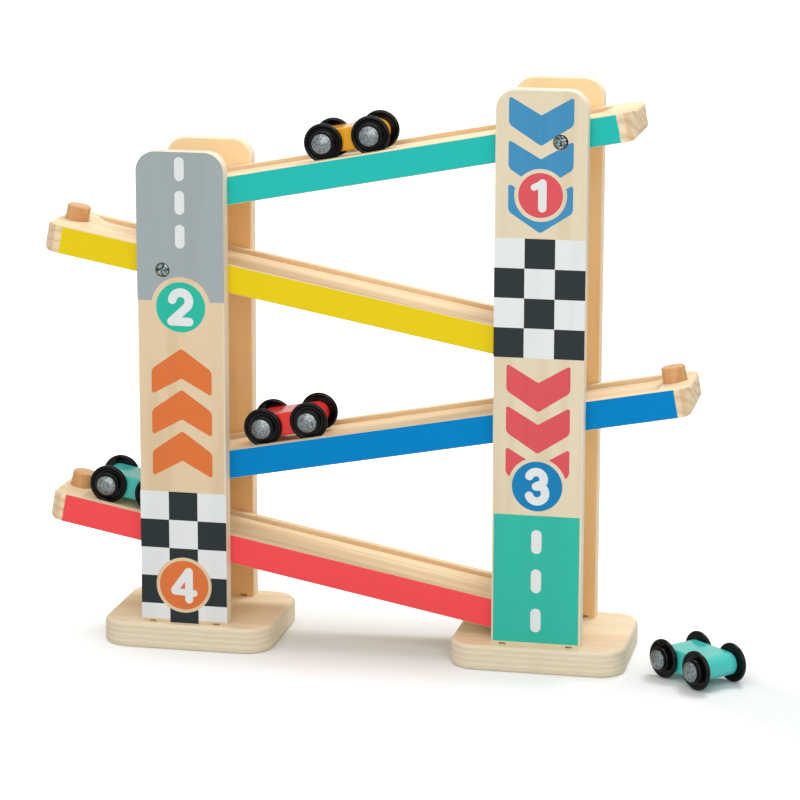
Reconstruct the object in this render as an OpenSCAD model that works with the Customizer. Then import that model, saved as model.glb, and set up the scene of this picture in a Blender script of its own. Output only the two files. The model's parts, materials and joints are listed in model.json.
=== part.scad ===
// Click clack track toy: two wooden towers carry four sloping ramps, and small cars roll down them,
// tipping over at the end of each ramp. The origin is the centre of the left base's underside.
// +X runs along the toy to the right, +Y to the back and +Z up.

/* [Towers] */
// Height of the whole toy, from the floor to the top of the right tower
toy_h = 310.9; // [300:0.1:345]
// Width of each tower plate
plate_w = 48; // [44:0.5:56]
// Thickness of each tower plate
plate_t = 9.5; // [8.5:0.5:14]
// Gap between the front and back plate of a tower, which the ramps fill
tower_gap = 49; // [48:0.5:60]
// Distance between the centre lines of the two towers
tower_pitch = 193.5; // [180:0.5:230]
// Height of the left plates above the centre line of ramp 1
left_head = 25.6; // [18:0.2:40]
// Height of the right plates above the centre line of ramp 1
right_head = 27.3; // [18:0.1:40]
// Radius of the plates' top corners
plate_corner_r = 10.5; // [5:0.5:18]
// Rounding along the plates' edges
plate_edge_r = 1; // [0.4:0.1:2]

/* [Bases] */
// Length of each base along the toy
base_l = 94.5; // [80:0.5:120]
// How far each base reaches past the outer faces of the plates
base_overhang = 5; // [3:0.5:16]
// Thickness of each base
base_t = 13.9; // [11:0.1:20]
// Radius of the base's corners, seen from above
base_corner_r = 15; // [8:0.5:24]
// Rounding of the base's upper edge
base_top_r = 2.5; // [1:0.1:4]
// Rounding of the base's lower edge
base_foot_r = 2; // [1:0.1:4]

/* [Plate joints] */
// Width of the tenon under each plate
tenon_w = 32; // [20:0.5:36]
// Length of the tenon
tenon_l = 8.5; // [6:0.5:10]
// Room between the tenon and its mortise
tenon_fit = 0.1; // [0.05:0.01:0.2]
// Room left for glue under the tenon and behind each dowel
glue_room = 0.5; // [0.2:0.1:1]
// Width of the relief notch beside the tenon
notch_w = 3.6; // [2:0.2:5]
// Height of the relief notch above the base
notch_h = 1; // [0.6:0.1:2]

/* [Ramps] */
// Thickness of a ramp, square to its slope
ramp_t = 15.5; // [14:0.5:20]
// Slope of every ramp, in degrees
ramp_slope = 10.65; // [8:0.05:12]
// Gap between the low end of ramp 4 and the base
ramp_lift = 0.2; // [0.2:0.1:3]
// How far ramp 1 reaches past the centre of the right tower
short_reach = 48; // [44:0.5:60]
// How far ramps 2 to 4 reach past the centre of their upper tower
long_reach = 79.4; // [76:0.2:100]
// How far each low end reaches past the centre of its tower
low_reach = 4; // [2:0.5:8]
// Radius of the corners of the high end, seen from above
ramp_corner_r = 9; // [5:0.5:12]
// Rounding of the high end's upper edge
ramp_nose_r = 2.5; // [1.5:0.1:5]
// Rounding of the high end's lower edge
ramp_chin_r = 5; // [2:0.1:7]
// Rounding along the ramp's long edges
ramp_edge_r = 0.8; // [0.4:0.1:1.6]

/* [Channel] */
// Width of the rim on each side of the channel
rim_w = 5.6; // [4:0.1:7]
// Depth of the channel
channel_depth = 2.3; // [1.6:0.1:2.8]
// Radius of the cutter that lifts out at the channel's high end
runout_r = 15; // [10:0.5:20]
// Distance from the high end at which the channel has run out
channel_stop = 16.8; // [16:0.1:26]

/* [Pegs] */
// Diameter of the stop peg
peg_d = 12.8; // [10:0.2:14.4]
// Height of the peg above the ramp
peg_h = 8; // [5:0.5:14]
// Depth of the peg's blind hole
peg_depth = 9; // [7:0.5:11]
// Bevel round the peg's top
peg_bevel = 0.6; // [0.3:0.1:1]
// Bevel round the mouth of the peg's hole
peg_seat_bevel = 0.5; // [0.2:0.1:0.8]

/* [Fixings] */
// How far past a tower's centre the upper fixings sit
fixing_reach = 9.8; // [4:0.2:12]
// How far the fixings sit under the ramp's centre line
fixing_drop = 1.5; // [0:0.1:2]
// Distance from a ramp's low end to its lower dowels
dowel_inset = 12; // [9:0.5:16]
// Diameter of the glued dowels
dowel_d = 6; // [5:0.5:7]
// Length of dowel inside the plate
dowel_in_plate = 6; // [4:0.5:7]
// Length of dowel inside the ramp
dowel_in_ramp = 10; // [6:0.5:16]
// Diameter of the screw's recess in the front plate
recess_d = 8.2; // [7.6:0.1:10]
// Depth of the screw's recess
recess_depth = 3; // [2.8:0.1:4]
// Diameter of the screw's head
screw_head_d = 7.2; // [6:0.1:7.4]
// Height of the screw's head
screw_head_h = 2.4; // [2:0.1:2.6]
// Diameter of the screw's shank
screw_d = 3.6; // [3:0.1:4]
// Length of screw inside the ramp
screw_in_ramp = 14; // [10:0.5:20]
// Width of one bar of the cross in the screw's head
cross_w = 1.1; // [0.8:0.1:1.4]
// Length of one bar of the cross
cross_l = 4.4; // [3:0.1:5]
// Depth of the cross
cross_depth = 1.4; // [1:0.1:1.6]

/* [Wheels] */
// Diameter of a wheel
wheel_d = 21; // [18.5:0.2:22.2]
// Thickness of the wheel's rim
wheel_t = 2.4; // [2:0.1:3]
// How far the wheel's outer face is sunk inside its rim
web_sink = 0.6; // [0.2:0.1:1]
// Diameter of the wheel's hub
hub_d = 13.8; // [12.6:0.2:14]
// How far the hub stands out from the wheel's inner face
hub_h = 4.6; // [3.6:0.1:5]
// Rounding of the hub's shoulder
hub_r = 0.8; // [0.3:0.1:1.2]
// Diameter of the seat under the cap
seat_d = 11.8; // [11:0.1:12.2]
// Height of the cap's seat above the hub
seat_h = 0.5; // [0.3:0.1:0.8]

/* [Axles and caps] */
// Diameter of an axle
axle_d = 3; // [2.4:0.1:4]
// Running room round the axle in the car's body
axle_fit = 0.08; // [0.04:0.01:0.1]
// Diameter of the push-on cap
cap_d = 10.5; // [9:0.1:10.8]
// Height of the cap's straight skirt
cap_skirt_h = 0.7; // [0.5:0.1:1.2]
// Height of the cap's dome
cap_dome_h = 1.5; // [1:0.1:2]

/* [Cars] */
// Distance between a car's axles
wheelbase = 26; // [23:0.5:30]
// Distance between the middle planes of a car's left and right wheels
track = 25; // [22:0.5:25.4]
// Height of the car's body
body_h = 12.4; // [9:0.2:14]
// Gap between the body and each wheel
body_side_gap = 0.4; // [0.2:0.1:1]
// Rounding along the body's edges
body_edge_r = 0.8; // [0.4:0.1:1.6]
// Gap between a wheel and the ramp under it
roll_gap = 0.2; // [0.1:0.05:0.4]
// Distance of the floor car's middle past the right tower's centre
floor_car_x = 86; // [84:1:130]
// Distance of the floor car's middle in front of the toy's middle plane
floor_car_y = 29; // [0:1:80]
// Heading of the floor car, in degrees to the front from +X
floor_car_heading = 42; // [20:1:60]

/* [Hidden] */
// A run past a face, for every cut
over = 1;
// Where each car stands on its ramp, as a share of the way up the channel
yellow_place_share = 0.4157;
red_place_share = 0.2079;
teal_place_share = 0.9838;
// How far each car stands to the front, as a share of the play between its wheels and the rims
yellow_side_share = 0.85;
red_side_share = 0.75;
teal_side_share = 0.2;
// Length of the screw's point, as a share of the screw's diameter
point_share = 1.2;
$fn = 64;

half_pitch = tower_pitch / 2;
lift_per_run = tan(ramp_slope);
ramp_v = ramp_t / cos(ramp_slope);
front_face_y = -tower_gap / 2;
back_face_y = tower_gap / 2;
base_w = tower_gap + 2 * (plate_t + base_overhang);
channel_w = tower_gap - 2 * rim_w;

// Each ramp, from the top: side of its high end (1 right, -1 left), and reach of that end
high_side = [1, -1, 1, -1];
reach = [short_reach, long_reach, long_reach, long_reach];
tower_climb = half_pitch * lift_per_run;
top_ramp_z = toy_h - right_head - tower_climb;
bottom_ramp_z = base_t + ramp_lift + ramp_v / 2 + low_reach * lift_per_run + tower_climb;
ramp_rise = (top_ramp_z - bottom_ramp_z) / (len(high_side) - 1);
function ramp_z(i) = top_ramp_z - i * ramp_rise;

// Places along a ramp, counted from the toy's middle towards the high end
function high_end(i) = (half_pitch + reach[i]) / cos(ramp_slope);
low_end = -(half_pitch + low_reach) / cos(ramp_slope);
fixing_at = (half_pitch + fixing_reach) / cos(ramp_slope);
low_dowel_at = low_end + dowel_inset;
runout_l = sqrt(2 * runout_r * channel_depth - channel_depth * channel_depth);
function channel_end(i) = high_end(i) - channel_stop;
function runout_at(i) = channel_end(i) - runout_l;
function peg_at(i) = channel_end(i) + peg_d / 2;
floor_z = ramp_t / 2 - channel_depth;

// Heights of the tower plates above the base
left_plate_h = top_ramp_z - tower_climb + left_head - base_t;
right_plate_h = toy_h - base_t;

// Car sizes that follow from the wheels
wheel_r = wheel_d / 2;
inner_face = track / 2 - wheel_t / 2;
body_w = 2 * (inner_face - body_side_gap);
cap_face = inner_face + hub_h + seat_h;
side_play = channel_w / 2 - inner_face - wheel_t;
dome_r = (cap_d * cap_d / 4 + cap_dome_h * cap_dome_h) / (2 * cap_dome_h);
// The axle ends under the dome's rim, inside the cap
axle_l = 2 * (cap_face + cap_skirt_h);
function car_s(i, place_share) =
    low_end + wheelbase / 2 + place_share * (runout_at(i) - low_end - wheelbase);

CAR_PARTS = ["body", "front_axle", "front_wheels", "front_caps", "rear_axle", "rear_wheels", "rear_caps"];
CARS = ["yellow_car", "red_car", "teal_car", "floor_car"];

// Profiles and slabs with rounded edges

// Cross-section of a slab that stands on y = 0, with its upper and lower edges rounded
module edge_profile(w, t, top_r, foot_r) {
    translate([-w / 2, foot_r]) square([w, t - top_r - foot_r]);
    translate([-w / 2 + foot_r, 0]) square([w - 2 * foot_r, 2 * foot_r]);
    translate([-w / 2 + top_r, t - 2 * top_r]) square([w - 2 * top_r, 2 * top_r]);
    for (side = [-1, 1]) {
        translate([side * (w / 2 - foot_r), foot_r]) circle(foot_r);
        translate([side * (w / 2 - top_r), t - top_r]) circle(top_r);
    }
}

// Slab with rounded corners seen from above and rounded edges, centred on X and Y
module rounded_slab(l, w, t, corner_r, top_r, foot_r) {
    rotate([90, 0, 90]) linear_extrude(l - 2 * corner_r, center = true) edge_profile(w, t, top_r, foot_r);
    rotate([90, 0, 0]) linear_extrude(w - 2 * corner_r, center = true) edge_profile(l, t, top_r, foot_r);
    for (turn = [0 : 3]) {
        x = turn == 0 || turn == 3 ? 1 : -1;
        y = turn < 2 ? 1 : -1;
        translate([x * (l / 2 - corner_r), y * (w / 2 - corner_r), 0]) rotate([0, 0, turn * 90])
            rotate_extrude(angle = 90) intersection() {
                edge_profile(2 * corner_r, t, top_r, foot_r);
                square([corner_r, t]);
            }
    }
}

// Slab from x = -l to 0, centred on Y, with rounded corners at its +X end only
module rounded_end_slab(l, w, t, corner_r, top_r, foot_r) {
    translate([-corner_r, 0, 0]) rotate([90, 0, -90])
        linear_extrude(l - corner_r) edge_profile(w, t, top_r, foot_r);
    translate([-corner_r, 0, 0]) rotate([90, 0, 0])
        linear_extrude(w - 2 * corner_r, center = true) edge_profile(2 * corner_r, t, top_r, foot_r);
    for (side = [0, 1]) mirror([0, side, 0]) translate([-corner_r, w / 2 - corner_r, 0])
        rotate_extrude(angle = 90) intersection() {
            edge_profile(2 * corner_r, t, top_r, foot_r);
            square([corner_r, t]);
        }
}

// Towers

// Centre of a tower: 0 for the left one, tower_pitch for the right one
module base(tower_x) {
    color("burlywood") translate([tower_x, 0, 0]) difference() {
        rounded_slab(base_l, base_w, base_t, base_corner_r, base_top_r, base_foot_r);
        for (side = [-1, 1])
            translate([0, side * (tower_gap + plate_t) / 2, base_t])
                cube([tenon_w + 2 * tenon_fit, plate_t + 2 * tenon_fit,
                      2 * (tenon_l + glue_room)], center = true);
    }
}

// One plate, standing on z = 0 and centred on X, with its inner face at y = 0 and its tenon below
module plate_blank(h) {
    difference() {
        translate([0, 0, h]) rotate([-90, -90, 0])
            rounded_end_slab(h + tenon_l, plate_w, plate_t, plate_corner_r, plate_edge_r, plate_edge_r);
        // the shoulders beside the tenon, with their relief notches
        for (side = [-1, 1]) {
            translate([side * (tenon_w + plate_w) / 2, plate_t / 2, -tenon_l - over])
                cube([plate_w, 2 * plate_t, 2 * (tenon_l + over)], center = true);
            translate([side * (tenon_w + notch_w) / 2, plate_t / 2, 0])
                cube([notch_w, 2 * plate_t, 2 * notch_h], center = true);
        }
    }
}

// One bore along Y for every dowel that enters this plate, from its inner face
module plate_dowel_bores(places) {
    for (p = places) translate([p[0], 0, p[1]]) rotate([-90, 0, 0])
        translate([0, 0, -over]) cylinder(h = over + dowel_in_plate + glue_room, d = dowel_d);
}

// Where a fixing crosses a tower plate: X from the tower's centre and height above the base
function fixing_xz(i, s, tower_x) = [
    half_pitch + high_side[i] * (s * cos(ramp_slope) + fixing_drop * sin(ramp_slope)) - tower_x,
    ramp_z(i) + s * sin(ramp_slope) - fixing_drop * cos(ramp_slope) - base_t
];
left_low = [for (i = [0, 2]) fixing_xz(i, low_dowel_at, 0)];
left_high = [for (i = [1, 3]) fixing_xz(i, fixing_at, 0)];
right_low = [for (i = [1, 3]) fixing_xz(i, low_dowel_at, tower_pitch)];
right_high = [for (i = [0, 2]) fixing_xz(i, fixing_at, tower_pitch)];

module back_plate(tower_x, h, places) {
    color("wheat") translate([tower_x, back_face_y, base_t]) difference() {
        plate_blank(h);
        plate_dowel_bores(places);
    }
}

// A front plate has a recessed screw in place of one dowel
module front_plate(tower_x, h, places, screw_place) {
    color("wheat") translate([tower_x, front_face_y, base_t]) mirror([0, 1, 0]) difference() {
        plate_blank(h);
        plate_dowel_bores(places);
        translate([screw_place[0], 0, screw_place[1]]) rotate([-90, 0, 0]) {
            translate([0, 0, -over]) cylinder(h = plate_t + 2 * over, d = screw_d);
            translate([0, 0, plate_t - recess_depth]) cylinder(h = recess_depth + over, d = recess_d);
        }
    }
}

// Ramps

// Puts a piece on ramp i: +X up the slope, +Z square to it, from the middle of the beam
module on_ramp(i) {
    translate([half_pitch, 0, ramp_z(i)]) mirror([high_side[i] < 0 ? 1 : 0, 0, 0])
        rotate([0, -ramp_slope, 0]) children();
}

// Side view of the high end, rounded above and below, open towards the low end
module nose_profile(i) {
    l = high_end(i) - low_end;
    translate([high_end(i) - l, -ramp_t / 2 + ramp_chin_r])
        square([l, ramp_t - ramp_chin_r - ramp_nose_r]);
    translate([high_end(i) - l, -ramp_t / 2]) square([l - ramp_chin_r, 2 * ramp_chin_r]);
    translate([high_end(i) - l, ramp_t / 2 - 2 * ramp_nose_r]) square([l - ramp_nose_r, 2 * ramp_nose_r]);
    translate([high_end(i) - ramp_chin_r, -ramp_t / 2 + ramp_chin_r]) circle(ramp_chin_r);
    translate([high_end(i) - ramp_nose_r, ramp_t / 2 - ramp_nose_r]) circle(ramp_nose_r);
}

module channel_cut(i) {
    rotate([90, 0, 0]) linear_extrude(channel_w, center = true) {
        translate([low_end - over, floor_z]) square([runout_at(i) - low_end + over, runout_r]);
        translate([runout_at(i), floor_z + runout_r]) circle(runout_r);
    }
}

module side_bore(s, side, depth, d) {
    translate([s, side * (tower_gap / 2 + over), -fixing_drop]) rotate([side * 90, 0, 0])
        cylinder(h = depth + over, d = d);
}

module ramp(i, paint) {
    l = high_end(i) - low_end;
    has_screw = i < 2;
    color(paint) on_ramp(i) difference() {
        intersection() {
            translate([high_end(i), 0, -ramp_t / 2])
                rounded_end_slab(l, tower_gap, ramp_t, ramp_corner_r, ramp_edge_r, ramp_edge_r);
            rotate([90, 0, 0]) linear_extrude(tower_gap + 2 * over, center = true) nose_profile(i);
        }
        channel_cut(i);
        for (side = [-1, 1]) side_bore(low_dowel_at, side, dowel_in_ramp + glue_room, dowel_d);
        side_bore(fixing_at, 1, dowel_in_ramp + glue_room, dowel_d);
        if (has_screw) side_bore(fixing_at, -1, screw_in_ramp + glue_room, screw_d);
        else side_bore(fixing_at, -1, dowel_in_ramp + glue_room, dowel_d);
        if (i > 0) translate([peg_at(i), 0, ramp_t / 2]) {
            translate([0, 0, -peg_depth - glue_room]) cylinder(h = peg_depth + glue_room + over, d = peg_d);
            translate([0, 0, -peg_seat_bevel])
                cylinder(h = 2 * peg_seat_bevel, d1 = peg_d, d2 = peg_d + 4 * peg_seat_bevel);
        }
    }
}

module peg(i) {
    color("peru") on_ramp(i) translate([peg_at(i), 0, ramp_t / 2 - peg_depth]) {
        cylinder(h = peg_depth + peg_h - peg_bevel, d = peg_d);
        translate([0, 0, peg_depth + peg_h - peg_bevel])
            cylinder(h = peg_bevel, d1 = peg_d, d2 = peg_d - 2 * peg_bevel);
    }
}

// Fixings

module dowel(i, s, side) {
    on_ramp(i) translate([s, side * (tower_gap / 2 - dowel_in_ramp), -fixing_drop])
        rotate([-side * 90, 0, 0]) cylinder(h = dowel_in_ramp + dowel_in_plate, d = dowel_d);
}

module ramp_dowels() {
    color("tan") for (i = [0 : 3]) {
        for (side = [-1, 1]) dowel(i, low_dowel_at, side);
        dowel(i, fixing_at, 1);
        if (i > 1) dowel(i, fixing_at, -1);
    }
}

// Screw along its own +Z, with its head's underside at z = 0 and its point below
module screw() {
    shank_l = plate_t - recess_depth + screw_in_ramp;
    difference() {
        union() {
            rotate_extrude() intersection() {
                edge_profile(screw_head_d, screw_head_h, screw_head_h * 0.4, screw_head_h * 0.1);
                square([screw_head_d / 2, screw_head_h]);
            }
            translate([0, 0, -shank_l + screw_d * point_share])
                cylinder(h = shank_l - screw_d * point_share, d = screw_d);
            translate([0, 0, -shank_l]) cylinder(h = screw_d * point_share, d1 = screw_d / 4, d2 = screw_d);
        }
        for (turn = [0, 90]) rotate([0, 0, turn]) translate([0, 0, screw_head_h])
            cube([cross_l, cross_w, 2 * cross_depth], center = true);
    }
}

module ramp_screws() {
    color("dimgray") for (i = [0, 1]) on_ramp(i)
        translate([fixing_at, front_face_y - plate_t + recess_depth, -fixing_drop])
            rotate([90, 0, 0]) screw();
}

// Cars: each is modelled round the middle of its body, with +X to its front and its axles along Y

module car_body(paint) {
    color(paint) difference() {
        union() {
            rotate([90, 0, 90]) linear_extrude(wheelbase, center = true)
                translate([0, -body_h / 2]) edge_profile(body_w, body_h, body_edge_r, body_edge_r);
            for (side = [-1, 1]) translate([side * wheelbase / 2, body_w / 2, 0]) rotate([90, 0, 0])
                rotate_extrude() intersection() {
                    edge_profile(body_h, body_w, body_edge_r, body_edge_r);
                    square([body_h / 2, body_w]);
                }
        }
        for (side = [-1, 1]) translate([side * wheelbase / 2, 0, 0]) rotate([90, 0, 0])
            cylinder(h = body_w + 2 * over, d = axle_d + 2 * axle_fit, center = true);
    }
}

// Half section of a wheel: radius along X, outward along Y from the wheel's inner face
module wheel_profile() {
    translate([axle_d / 2, 0]) square([wheel_r - wheel_t / 2 - axle_d / 2, wheel_t - web_sink]);
    translate([wheel_r - wheel_t / 2, wheel_t / 2]) circle(wheel_t / 2);
    translate([axle_d / 2, 0]) square([hub_d / 2 - axle_d / 2, hub_h - hub_r]);
    translate([axle_d / 2, 0]) square([hub_d / 2 - hub_r - axle_d / 2, hub_h]);
    translate([hub_d / 2 - hub_r, hub_h - hub_r]) circle(hub_r);
    translate([axle_d / 2, 0]) square([seat_d / 2 - axle_d / 2, hub_h + seat_h]);
}

module wheels() {
    color("black") for (side = [-1, 1]) mirror([0, side < 0 ? 1 : 0, 0])
        translate([0, inner_face, 0]) rotate([-90, 0, 0]) rotate_extrude() wheel_profile();
}

module axle() {
    color("silver") rotate([90, 0, 0]) cylinder(h = axle_l, d = axle_d, center = true);
}

// Half section of a cap: a flat skirt over the axle's end, and a dome on it
module cap_profile() {
    translate([axle_d / 2, 0]) square([(cap_d - axle_d) / 2, cap_skirt_h]);
    intersection() {
        translate([0, cap_skirt_h + cap_dome_h - dome_r]) circle(dome_r);
        translate([0, cap_skirt_h]) square([cap_d / 2, cap_dome_h]);
    }
}

module caps() {
    color("lightgray") for (side = [-1, 1]) mirror([0, side < 0 ? 1 : 0, 0])
        translate([0, cap_face, 0]) rotate([-90, 0, 0]) rotate_extrude() cap_profile();
}

// One named part of a car; the caller places it
module car_part(part, paint) {
    if (part == "body") car_body(paint);
    for (end = [["front", 1], ["rear", -1]]) translate([end[1] * wheelbase / 2, 0, 0]) {
        if (part == str(end[0], "_axle")) axle();
        if (part == str(end[0], "_wheels")) wheels();
        if (part == str(end[0], "_caps")) caps();
    }
}

// A car on its ramp, front end down the slope, moved to the front by its share of the side play
module ramp_car(i, part, paint, place_share, side_share) {
    on_ramp(i) translate([car_s(i, place_share), -side_share * side_play, floor_z + roll_gap + wheel_r])
        rotate([0, 0, 180]) car_part(part, paint);
}

module floor_car(part) {
    translate([tower_pitch + floor_car_x, -floor_car_y, wheel_r])
        rotate([0, 0, -floor_car_heading]) car_part(part, "mediumturquoise");
}

base(0);  // left_base
base(tower_pitch);  // right_base
front_plate(0, left_plate_h, concat(left_low, [left_high[1]]), left_high[0]);  // left_front_plate
back_plate(0, left_plate_h, concat(left_low, left_high));  // left_back_plate
front_plate(tower_pitch, right_plate_h, concat(right_low, [right_high[1]]), right_high[0]);  // right_front_plate
back_plate(tower_pitch, right_plate_h, concat(right_low, right_high));  // right_back_plate
ramp(0, "mediumaquamarine");  // ramp_1
ramp(1, "gold");  // ramp_2
ramp(2, "dodgerblue");  // ramp_3
ramp(3, "tomato");  // ramp_4
peg(1);  // ramp_2_peg
peg(2);  // ramp_3_peg
peg(3);  // ramp_4_peg
ramp_screws();
ramp_dowels();
for (part = CAR_PARTS) {
    ramp_car(0, part, "orange", yellow_place_share, yellow_side_share);
    ramp_car(2, part, "orangered", red_place_share, red_side_share);
    ramp_car(3, part, "mediumturquoise", teal_place_share, teal_side_share);
    floor_car(part);
}
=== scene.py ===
# %% [markdown]
# # A click clack track toy
# Two wooden towers carry four sloping ramps. Small cars roll down them and tip over at each end.
# The shapes come from the solid model. This lesson adds what a solid model lacks: wood that looks
# like wood, paint, printed road signs, polished plastic and zinc, and a plain studio.
# The loaded model is the frame that everything here is measured in, in metres.

# %% Load the toy
import bpy, bmesh, json, math
from mathutils import Matrix, Vector


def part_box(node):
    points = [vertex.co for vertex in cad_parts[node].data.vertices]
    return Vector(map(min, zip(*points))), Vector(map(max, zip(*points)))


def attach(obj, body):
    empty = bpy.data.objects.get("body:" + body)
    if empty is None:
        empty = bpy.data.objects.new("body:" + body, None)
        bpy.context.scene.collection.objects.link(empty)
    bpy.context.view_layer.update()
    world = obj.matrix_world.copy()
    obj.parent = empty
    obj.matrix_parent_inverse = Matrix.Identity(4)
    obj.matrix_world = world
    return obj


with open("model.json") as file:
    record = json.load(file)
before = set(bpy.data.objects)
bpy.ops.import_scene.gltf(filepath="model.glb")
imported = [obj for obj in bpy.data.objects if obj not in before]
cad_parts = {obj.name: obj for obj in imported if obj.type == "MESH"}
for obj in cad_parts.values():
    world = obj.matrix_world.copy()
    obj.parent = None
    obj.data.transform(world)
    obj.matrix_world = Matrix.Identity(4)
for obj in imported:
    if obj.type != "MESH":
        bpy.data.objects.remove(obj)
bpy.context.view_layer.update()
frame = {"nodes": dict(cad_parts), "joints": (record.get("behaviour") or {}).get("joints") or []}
nodes = frame["nodes"]
MM = 0.001

# %% [markdown]
# ## Sizes
# A few sizes of the toy are used again and again, so they get names here. They are in millimetres,
# as a toymaker would write them, and MM turns them into metres where a shape is made. What a box can
# tell is read from the model, so the prints stay on their plates if the model changes.

# %% Name the sizes that the finishes follow
def side_of(node, corner, axis):
    """Where a node's box ends, in millimetres: corner 0 is its lowest, corner 1 its highest."""
    return round(getattr(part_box(node)[corner], axis) / MM, 3)


def middle_of(node, axis):
    """The middle of a node's box, in millimetres."""
    return (side_of(node, 0, axis) + side_of(node, 1, axis)) / 2


plate_front = side_of("left_front_plate", 0, "y")
base_top = side_of("left_base", 1, "z")
tower_x = {side: middle_of(f"{side}_base", "x") for side in ("left", "right")}
middle_x = (tower_x["left"] + tower_x["right"]) / 2
ramp_side = side_of("ramp_1", 1, "y")
ramp_thick = 15.5
ramp_slope = math.radians(10.65)
# 1 where a ramp's high end is at the right, and -1 where it is at the left
high_side = {1: 1, 2: -1, 3: 1, 4: -1}
# how far a ramp's high end and its lowest corner lie past the middle of a tower
high_reach = {1: 48.0, 2: 79.4, 3: 79.4, 4: 79.4}
low_reach = 4.0
print("plate front", plate_front, "base top", base_top, "towers at", tower_x, "ramp side", ramp_side)

# %% [markdown]
# ## The camera
# The picture is taken from over a metre and a half away, a little to the right and above. A long lens keeps
# the near car and the far ramp alike in size, and lets the upright edges stay close to upright. The
# camera turns about the upright, leans down, and rolls by a hair.

# %% Place the camera
camera_place = Vector((437.92, -1551.4, 492.49)) * MM
yaw, lean, roll = 0.2149, 0.2048, 0.0009
camera_data = bpy.data.cameras.new("camera")
camera = bpy.data.objects.new("camera", camera_data)
bpy.context.scene.collection.objects.link(camera)
bpy.context.scene.camera = camera
camera_data.sensor_width = 36
camera_data.lens = 135.333
camera_data.shift_x, camera_data.shift_y = 0.03, -0.06
camera_data.clip_end = 50
look_down = Matrix.Rotation(math.pi / 2 - lean, 4, "X") @ Matrix.Rotation(roll, 4, "Z")
camera.matrix_world = Matrix.Translation(camera_place) @ Matrix.Rotation(yaw, 4, "Z") @ look_down
print("camera at", [round(v, 3) for v in camera_place], "lens", camera_data.lens)

# %% [markdown]
# ## Helpers for graphs of nodes
# Each finish is a small graph of nodes. The same few nodes come back in all of them, so each gets a
# short call: a sum, a mix of two colours, noise, and the parts of a point. A value that goes into a
# node is either a plain number or colour, or a socket of another node.

# %% Define the node helpers
def colour(r, g, b):
    """A screen colour, 0 to 255, as the linear colour that a shader wants."""
    lin = [((v / 255 + 0.055) / 1.055) ** 2.4 if v > 10 else v / 255 / 12.92 for v in (r, g, b)]
    return (*lin, 1)


def shaded(paint, share):
    """The same colour with that share of its light."""
    return (*(share * v for v in paint[:3]), 1)


def feed(tree, socket, value):
    """Gives a socket its own number or colour, or links another node's socket to it."""
    if isinstance(value, bpy.types.NodeSocket):
        tree.links.new(value, socket)
    else:
        socket.default_value = value


def maths(tree, operation, *values, clamp=False):
    """One Math node with up to three values."""
    node = tree.nodes.new("ShaderNodeMath")
    node.operation, node.use_clamp = operation, clamp
    for socket, value in zip(node.inputs, values):
        feed(tree, socket, value)
    return node.outputs[0]


def rises(tree, value, edge, slope, at_edge=0.5):
    """0 to 1 as a value passes an edge: at_edge on the edge itself, and slope more per unit past it."""
    return maths(tree, "MULTIPLY_ADD", maths(tree, "SUBTRACT", value, edge), slope, at_edge, clamp=True)


def mixed(tree, share, a, b):
    """A colour between a and b, by a share from 0 to 1."""
    node = tree.nodes.new("ShaderNodeMix")
    node.data_type = "RGBA"
    for socket, value in ((node.inputs[0], share), (node.inputs[6], a), (node.inputs[7], b)):
        feed(tree, socket, value)
    return node.outputs[2]


def noise(tree, point, scale, detail, w=None):
    """Noise from 0 to 1 at a point; w picks another stretch of it."""
    node = tree.nodes.new("ShaderNodeTexNoise")
    node.inputs["Scale"].default_value = scale
    node.inputs["Detail"].default_value = detail
    tree.links.new(point, node.inputs["Vector"])
    if w is not None:
        node.noise_dimensions = "4D"
        feed(tree, node.inputs["W"], w)
    return node.outputs[0]


print("colour(255, 255, 255) is", colour(255, 255, 255))

# %% [markdown]
# ## Helpers for points
# A pattern reads the place of a point on the toy. The place can be moved, turned or stretched before
# the pattern sees it, which lays grain along a board, and it can be taken apart into X, Y and Z. The
# direction that the surface faces tells a board's face from its edge.

# %% Define the point helpers
def object_point(tree, rotation=(0, 0, 0), location=(0, 0, 0), scale=(1, 1, 1)):
    """Object coordinates in metres, moved and turned by a Mapping node."""
    place = tree.nodes.new("ShaderNodeTexCoord")
    mapping = tree.nodes.new("ShaderNodeMapping")
    mapping.inputs["Location"].default_value = location
    mapping.inputs["Rotation"].default_value = rotation
    mapping.inputs["Scale"].default_value = scale
    tree.links.new(place.outputs["Object"], mapping.inputs["Vector"])
    return mapping.outputs[0]


def stretched(tree, point, factors):
    """A point with each of its coordinates multiplied by a factor of its own."""
    node = tree.nodes.new("ShaderNodeVectorMath")
    node.operation = "MULTIPLY"
    node.inputs[1].default_value = factors
    tree.links.new(point, node.inputs[0])
    return node.outputs[0]


def split_xyz(tree, vector):
    """The X, Y and Z of a vector, as three sockets."""
    node = tree.nodes.new("ShaderNodeSeparateXYZ")
    tree.links.new(vector, node.inputs[0])
    return node.outputs


def facing(tree, axis, slope, start, both_ways=True):
    """0 to 1 by how squarely the surface faces along an axis: slope * normal + start, clamped."""
    surface = tree.nodes.new("ShaderNodeNewGeometry")
    tilt = split_xyz(tree, surface.outputs["Normal"])[axis]
    if both_ways:
        tilt = maths(tree, "ABSOLUTE", tilt)
    return maths(tree, "MULTIPLY_ADD", tilt, slope, start, clamp=True)


UP_TO_X = (0, math.pi / 2, 0)
print("grain that runs up is turned by", [round(math.degrees(v)) for v in UP_TO_X], "degrees")

# %% [markdown]
# ## The studio
# A product picture like this has a white sheet under and behind the toy. The key light stands behind it
# to the right, so the short shadows fall to the front and left. A big soft light in front shows the
# printed faces, one from above fills the tops, and the world fills the rest. For the camera the world
# is white, and mirrors see it almost white, as they would see the sheet. Neither lights the wood.

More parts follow.
